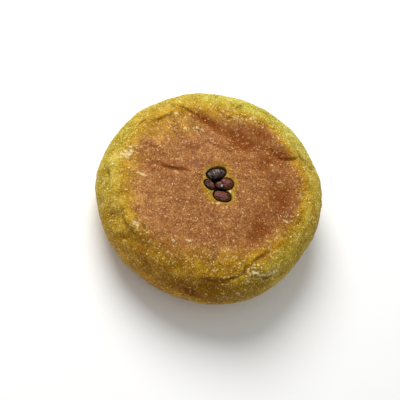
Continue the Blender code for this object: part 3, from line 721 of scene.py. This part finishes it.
def closedFaces(rings, around):
    # faces between the rings and round the two poles, whose points come after those of the rings
    faces = []
    for ring, step in itertools.product(range(rings - 1), range(around)):
        a = ring * around + step
        b = ring * around + (step + 1) % around
        faces.append((a, a + around, b + around, b))
    last, pole = (rings - 1) * around, rings * around
    for step in range(around):
        after = (step + 1) % around
        faces.append((pole, step, after))
        faces.append((pole + 1, last + after, last + step))
    return faces


def offsetFromMaker():
    # the solids stand about the middle of their box, and the numbers above about the middle of the face
    low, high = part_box("bean_1")
    middle = np.array((low + high) / 2)[:2] / mm
    return np.append(middle - np.array(beans["bean_1"][0]), cadBox[0][2] / mm)


def makeDough(material, offset):
    total = halfSection()[0][-1]
    inner = np.arange(dough["ringStepMiddle"], dough["middle"], dough["ringStepMiddle"])
    outer = np.linspace(dough["middle"], total, round((total - dough["middle"]) / dough["ringStep"]))
    stations = np.concatenate([inner, outer])
    around = dough["around"]
    turns = np.linspace(0.0, 2 * math.pi, around, endpoint=False)
    skin, marks = doughSkin(np.tile(turns, len(stations)), np.repeat(stations, around))
    skin[-around:, 2] = 0.0
    top, topMarks = doughSkin(np.zeros(1), np.zeros(1))
    rim = skin[-around:]
    shares = np.linspace(1.0, 0.0, dough["footRings"] + 1)[1:-1]
    under = np.vstack([rim * share for share in shares])
    points = np.vstack([skin, under, top, [[0.0, 0.0, 0.0]]])
    for name in marks:
        onFoot = baking["footMarks"].get(name, 0.0)
        marks[name] = np.concatenate([marks[name], np.full(len(under), onFoot), topMarks[name], [onFoot]])
    faces = closedFaces(len(stations) + len(shares), around)
    return newPiece("doughSkin", points + offset, faces, material, marks)


def makeBean(name, material, offset, seed):
    # a bean a hair smaller than its solid, dented and creased where it cooked soft
    middle, length, width, thickness, heading, rise, stand = beans[name]
    around, rings = beanLooks["around"], beanLooks["rings"]
    turns = np.linspace(-math.pi / 2, 3 * math.pi / 2, around, endpoint=False)
    levels = np.linspace(0.0, math.pi, rings + 1)[1:-1]
    u = -np.cos(np.repeat(levels, around))
    turn = np.tile(turns, len(levels))
    girth = np.sqrt(1.0 - np.abs(u) ** socket["endPower"])
    if name in waists:
        at, reach, slimmer, deeper = waists[name]
        x = u * length / 2
        girth *= 1.0 - slimmer * (1.0 - ease(at - reach, at + reach, x))
        girth *= 1.0 - deeper * np.exp(-(((x - at) / reach) ** 2))
    local = np.column_stack([u, girth * np.cos(turn), girth * np.sin(turn)])
    local = np.vstack([local, [[-1.0, 0.0, 0.0], [1.0, 0.0, 0.0]]])
    local *= np.array([length, width, thickness]) / 2 - beanLooks["inset"]
    size, depth, noiseSeed, apart = beanLooks["dents"]
    dents = 0.5 + 0.5 * lumpNoise(local + apart * seed, size, noiseSeed)
    inward = depth * np.clip(dents, 0.0, 1.0)
    size, depth, noiseSeed, apart = beanLooks["folds"]
    drawnOut = local * np.array([0.5, 1.0, 1.0]) + apart * seed
    inward += depth * (1.0 - np.abs(lumpNoise(drawnOut, size, noiseSeed))) ** 5
    shadedFlanks, low, high = beanLooks["shadedFlanks"]
    # painted shade on the lower flanks
    paleAndShade = shadedFlanks * (1.0 - ease(low, high, local[:, 2] / (thickness / 2)))
    hilum = np.zeros(len(local))
    if name in waists:       # a pit beside the waist holds the bean's white eye
        x, y = (local[:, :2] - np.array(beanEye["place"])).T
        onTop = local[:, 2] > 0
        depth, shift, halfLength, halfWidth = beanEye["pit"]
        inward += depth * np.exp(-(((x - shift) / halfLength) ** 2) - (y / halfWidth) ** 2) * onTop
        halfLength, halfWidth = beanEye["halfSize"]
        hilum = np.exp(-((x / halfLength) ** 2) - (y / halfWidth) ** 2) * onTop
        inward -= beanEye["stands"] * hilum
        shade, reach = beanEye["shade"]
        # the burst end turns paler, and painted shade darkens the pit round the eye
        paleAndShade += ease(*beanEye["burst"], -local[:, 0]) - shade * np.exp(-((x**2 + y**2) / reach**2)) * onTop
    size = np.linalg.norm(local, axis=1)
    local *= (1.0 - inward / size)[:, None]
    lengthways, sideways = beanAxes(heading)
    flat = np.array(middle) + local[:, :1] * lengthways + local[:, 1:2] * sideways
    lift = math.tan(math.radians(rise)) * local[:, 0]
    world = np.column_stack([flat, dough["height"] + stand - thickness / 2 + lift + local[:, 2]])
    faces = [one[::-1] for one in closedFaces(rings - 1, around)]
    bean = newPiece(name.replace("_", "") + "Skin", world + offset, faces, material,
                    {"paleAndShade": paleAndShade, "hilum": np.clip(beanEye["edge"] * hilum, 0.0, 1.0)})
    addBeanMap(bean, np.append(length / 2 * u, [-length / 2, length / 2]),
               np.append(width / 2 * (turn + math.pi / 2), [0.0, 0.0]), math.pi * width)
    return bean


def addBeanMap(bean, along, about, lap):
    # UV of millimetres along the bean and round it, with its seam underneath
    layer = bean.data.uv_layers.new(name="skin")
    for polygon in bean.data.polygons:
        corners = [bean.data.loops[i].vertex_index for i in polygon.loop_indices]
        over = max(about[c] for c in corners) > 0.75 * lap
        for i, corner in zip(polygon.loop_indices, corners):
            wrapped = about[corner] + (lap if over and about[corner] < 0.25 * lap else 0.0)
            layer.data[i].uv = (along[corner], wrapped)


# Grits that stand out of the skin, strewn by Geometry Nodes: radii in mm, Density in grains for each square
# millimetre, OnWall 1 for those that lie only where the crust isn't browned
grits = {
    "doughGrits": {"Density": 0.42, "Smallest": 0.10, "Largest": 0.27, "Flatness": 0.5, "Longest": 1.8,
                   "OnWall": 0.0, "Seed": 3},
    "wallGrits": {"Density": 0.26, "Smallest": 0.14, "Largest": 0.36, "Flatness": 0.4, "Longest": 2.8,
                  "OnWall": 1.0, "Seed": 5},
    "doughFlakes": {"Density": 0.012, "Smallest": 0.3, "Largest": 0.62, "Flatness": 0.25, "Longest": 1.9,
                    "OnWall": 0.0, "Seed": 8},
}
strewing = {
    "clear": (0.6, 1.6),     # distances from the beans between which the grits begin
    "shortest": 0.9,         # length of the roundest grain, in widths
    "fewLarge": 2.2,         # 1 spreads the sizes evenly, more makes the large ones rarer
    "seedStep": 10.0,
}


def strewTree():
    # flattened balls of many sizes on the skin, each turned its own way, but none in a fold or on the beans
    tree = bpy.data.node_groups.new("strewGrits", "GeometryNodeTree")
    kinds = {"Geometry": "Geometry", "Seed": "Int", "Material": "Material"}
    for name in ("Geometry", *grits["doughGrits"], "Material"):
        tree.interface.new_socket(name, in_out="INPUT", socket_type="NodeSocket" + kinds.get(name, "Float"))
    tree.interface.new_socket("Geometry", in_out="OUTPUT", socket_type="NodeSocketGeometry")
    add = partial(addNode, tree)
    given = add("NodeGroupInput").outputs
    outside, shade, bare = [
        add("GeometryNodeInputNamedAttribute", {"Name": name}, data_type="FLOAT").outputs[0]
        for name in ("outside", "shade", "bare")]
    clear = add("ShaderNodeMapRange", ranged(outside, *strewing["clear"])).outputs["Result"]
    smooth = add("ShaderNodeMath", {0: 1.0, 1: shade}, operation="SUBTRACT").outputs[0]
    clear = add("ShaderNodeMath", {0: clear, 1: smooth}, operation="MULTIPLY").outputs[0]
    where = add("ShaderNodeMix", {0: given["OnWall"], 2: 1.0, 3: bare}).outputs[0]
    density = given["Density"]
    for factor in (1 / mm**2, clear, where):
        density = add("ShaderNodeMath", {0: density, 1: factor}, operation="MULTIPLY").outputs[0]
    strewn = add("GeometryNodeDistributePointsOnFaces",
                 {"Mesh": given["Geometry"], "Density": density, "Seed": given["Seed"]})
    randoms = []
    for low, high in ((0.0, 1.0), (strewing["shortest"], given["Longest"]), (0.0, 2 * math.pi)):
        shift = strewing["seedStep"] * (len(randoms) + 1)
        seed = add("ShaderNodeMath", {0: given["Seed"], 1: shift}, operation="ADD").outputs[0]
        randoms.append(add("FunctionNodeRandomValue", {2: low, 3: high, "Seed": seed},
                           data_type="FLOAT").outputs[1])
    size, longer, spin = randoms
    size = add("ShaderNodeMath", {0: size, 1: strewing["fewLarge"]}, operation="POWER").outputs[0]
    size = add("ShaderNodeMapRange",
               ranged(size, 0.0, 1.0, given["Smallest"], given["Largest"])).outputs["Result"]
    size = add("ShaderNodeMath", {0: size, 1: mm}, operation="MULTIPLY").outputs[0]
    shape = add("ShaderNodeCombineXYZ", {"X": longer, "Y": 1.0, "Z": given["Flatness"]}).outputs[0]
    shape = add("ShaderNodeVectorMath", {0: shape, "Scale": size}, operation="SCALE")
    spin = add("ShaderNodeCombineXYZ", {"Z": spin}).outputs[0]
    turned = add("FunctionNodeRotateRotation",
                 {"Rotation": strewn.outputs["Rotation"], "Rotate By": spin}, rotation_space="LOCAL")
    grain = add("GeometryNodeMeshIcoSphere", {"Radius": 1.0, "Subdivisions": 1})
    laid = add("GeometryNodeInstanceOnPoints",
               {"Points": strewn.outputs["Points"], "Instance": grain.outputs["Mesh"],
                "Rotation": turned.outputs[0], "Scale": shape.outputs[0]})
    real = add("GeometryNodeRealizeInstances", {"Geometry": laid.outputs[0]})
    smooth = add("GeometryNodeSetShadeSmooth", {"Geometry": real.outputs[0]})
    painted = add("GeometryNodeSetMaterial", {"Geometry": smooth.outputs[0], "Material": given["Material"]})
    add("NodeGroupOutput", {"Geometry": painted.outputs[0]})
    return tree


def strewGrits(name, skin, tree, material):
    modifier = skin.modifiers.new(name, "NODES")
    modifier.node_group = tree
    values = {**grits[name], "Material": material}
    for item in tree.interface.items_tree:
        if item.in_out == "INPUT" and item.name in values:
            modifier[item.identifier] = values[item.name]
    made = skin.evaluated_get(bpy.context.evaluated_depsgraph_get())
    mesh = bpy.data.meshes.new_from_object(made)
    skin.modifiers.remove(modifier)
    mesh.name = name
    points = np.empty(3 * len(mesh.vertices))
    mesh.vertices.foreach_get("co", points)
    low, high = np.array(cadBox[0]), np.array(cadBox[1])
    mesh.vertices.foreach_set("co", np.clip(points.reshape(-1, 3), low, high).ravel())
    print(name, len(mesh.polygons), "faces")
    return addObject(name, mesh)


# Bran and flour grits: matt, straw on the green wall, toasted on the brown and scorched with it; where the
# scorch mark is painted shade, they take that shade too
gritLooks = {
    "onGreen": ((0.35, "#a79a34"), (0.5, "#cfc062"), (0.65, "#f6ecbc")),
    "onBrown": ((0.35, "#a96f33"), (0.5, "#cd9854"), (0.65, "#ecd09a")),
    "onScorch": ((0.35, "#8a4a12"), (0.5, "#b87428"), (0.65, "#e2b266")),
    "tones": (0.5, 4.0, 0.7),        # number for each mm, detail, roughness
    "roughness": 0.55,
}


def toastedGrits():
    material, tree, add, shader = newMaterial("toastedGrits")
    scale, detail, roughness = gritLooks["tones"]
    tone = add("ShaderNodeTexNoise", {
        "Vector": placeInMm(add), "Scale": scale, "Detail": detail, "Roughness": roughness}).outputs["Fac"]
    colour = add("ShaderNodeValToRGB", {"Fac": tone}, stops=gritLooks["onGreen"]).outputs["Color"]
    for name, where in (("browned", "onBrown"), ("scorchedAndShaded", "onScorch")):
        share = add("ShaderNodeAttribute", attribute_name=name).outputs["Fac"]
        over = add("ShaderNodeValToRGB", {"Fac": tone}, stops=gritLooks[where]).outputs["Color"]
        colour = add("ShaderNodeMix", {0: share, 6: colour, 7: over}, data_type="RGBA").outputs[2]
    tree.links.new(colour, shader.inputs["Base Color"])
    shader.inputs["Roughness"].default_value = gritLooks["roughness"]
    return material


# Studio: a pale floor, a large soft light behind the bun and an even surround, in metres and watts
studio = {
    "floor": ("#f6f6f4", "#fbfbfa"),
    "floorClouds": (3.0, 2.0),       # number for each metre, detail
    "floorRoughness": 0.9,
    "floorSize": 4.0,
    "surround": 0.45,
    "keyPower": 6.0,
    "keySize": 0.5,
    "keyPlace": (-0.375, 0.338, 0.52),
}

# The photo's view, in degrees and mm
view = {
    "elevation": 63.0,
    "roll": 32.0,
    "distance": 500.0,
    "lens": 101.36,
    "sensor": 36.0,
    "aimHeight": 15.0,
    "aimShift": (-4.5, -1.76),
}


def placeCamera(offset):
    tilt, roll = math.radians(view["elevation"]), math.radians(view["roll"])
    back = Vector((0.0, -math.cos(tilt), math.sin(tilt)))
    level = Vector((1.0, 0.0, 0.0))
    upright = Vector((0.0, math.sin(tilt), math.cos(tilt)))
    right = math.cos(roll) * level + math.sin(roll) * upright
    up = math.cos(roll) * upright - math.sin(roll) * level
    aim = Vector((*offset[:2], view["aimHeight"])) + view["aimShift"][0] * right + view["aimShift"][1] * up
    camera = addObject("camera", bpy.data.cameras.new("camera"))
    camera.data.lens = view["lens"]
    camera.data.sensor_width = view["sensor"]
    camera.data.clip_start = 0.01
    turn = Matrix((right, up, back)).transposed().to_4x4()
    camera.matrix_world = Matrix.Translation((aim + view["distance"] * back) * mm) @ turn
    bpy.context.scene.camera = camera


def lightStudio():
    scene = bpy.context.scene
    scene.view_settings.view_transform = "Standard"
    scene.world = bpy.data.worlds.new("surround")
    scene.world.use_nodes = True
    surround = scene.world.node_tree.nodes["Background"]
    surround.inputs["Color"].default_value = (1.0, 1.0, 1.0, 1.0)
    surround.inputs["Strength"].default_value = studio["surround"]
    lamp = bpy.data.lights.new("key", "AREA")
    lamp.shape = "DISK"
    lamp.size = studio["keySize"]
    lamp.energy = studio["keyPower"]
    key = addObject("key", lamp)
    key.location = studio["keyPlace"]
    key.rotation_euler = Vector(studio["keyPlace"]).to_track_quat("Z", "Y").to_euler()
    half = studio["floorSize"] / 2 / mm
    material, tree, add, shader = newMaterial("paleFloor")
    place = add("ShaderNodeTexCoord").outputs["Object"]
    scale, detail = studio["floorClouds"]
    cloud = add("ShaderNodeTexNoise", {"Vector": place, "Scale": scale, "Detail": detail}).outputs["Fac"]
    darker, lighter = [linear(shade) for shade in studio["floor"]]
    colour = add("ShaderNodeMix", {0: cloud, 6: darker, 7: lighter}, data_type="RGBA").outputs[2]
    tree.links.new(colour, shader.inputs["Base Color"])
    shader.inputs["Roughness"].default_value = studio["floorRoughness"]
    floor = newPiece("floor", [(-half, -half, 0), (half, -half, 0), (half, half, 0), (-half, half, 0)],
                     [(0, 1, 2, 3)], material)


offset = offsetFromMaker()
doughMaterial = bakedDough()
skin = makeDough(doughMaterial, offset)
print("dough skin", len(skin.data.polygons), "faces")

tree = strewTree()
gritMaterial = toastedGrits()
strewn = [strewGrits(name, skin, tree, gritMaterial) for name in grits]

beanPieces = {}
beanMaterials = {look: beanSkin(look + "AdzukiSkin", beanLooks[look]) for look in ("black", "brown", "red")}
for number, (name, look) in enumerate(zip(beans, ("black", "brown", "red", "red"))):
    beanPieces[name] = makeBean(name, beanMaterials[look], offset, number + 1)
print("beans made")

for piece in (skin, *strewn):
    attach(piece, "root")
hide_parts("dough")
for name, piece in beanPieces.items():
    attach(piece, "root")
    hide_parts(name)

placeCamera(offset)
lightStudio()
print("studio ready")
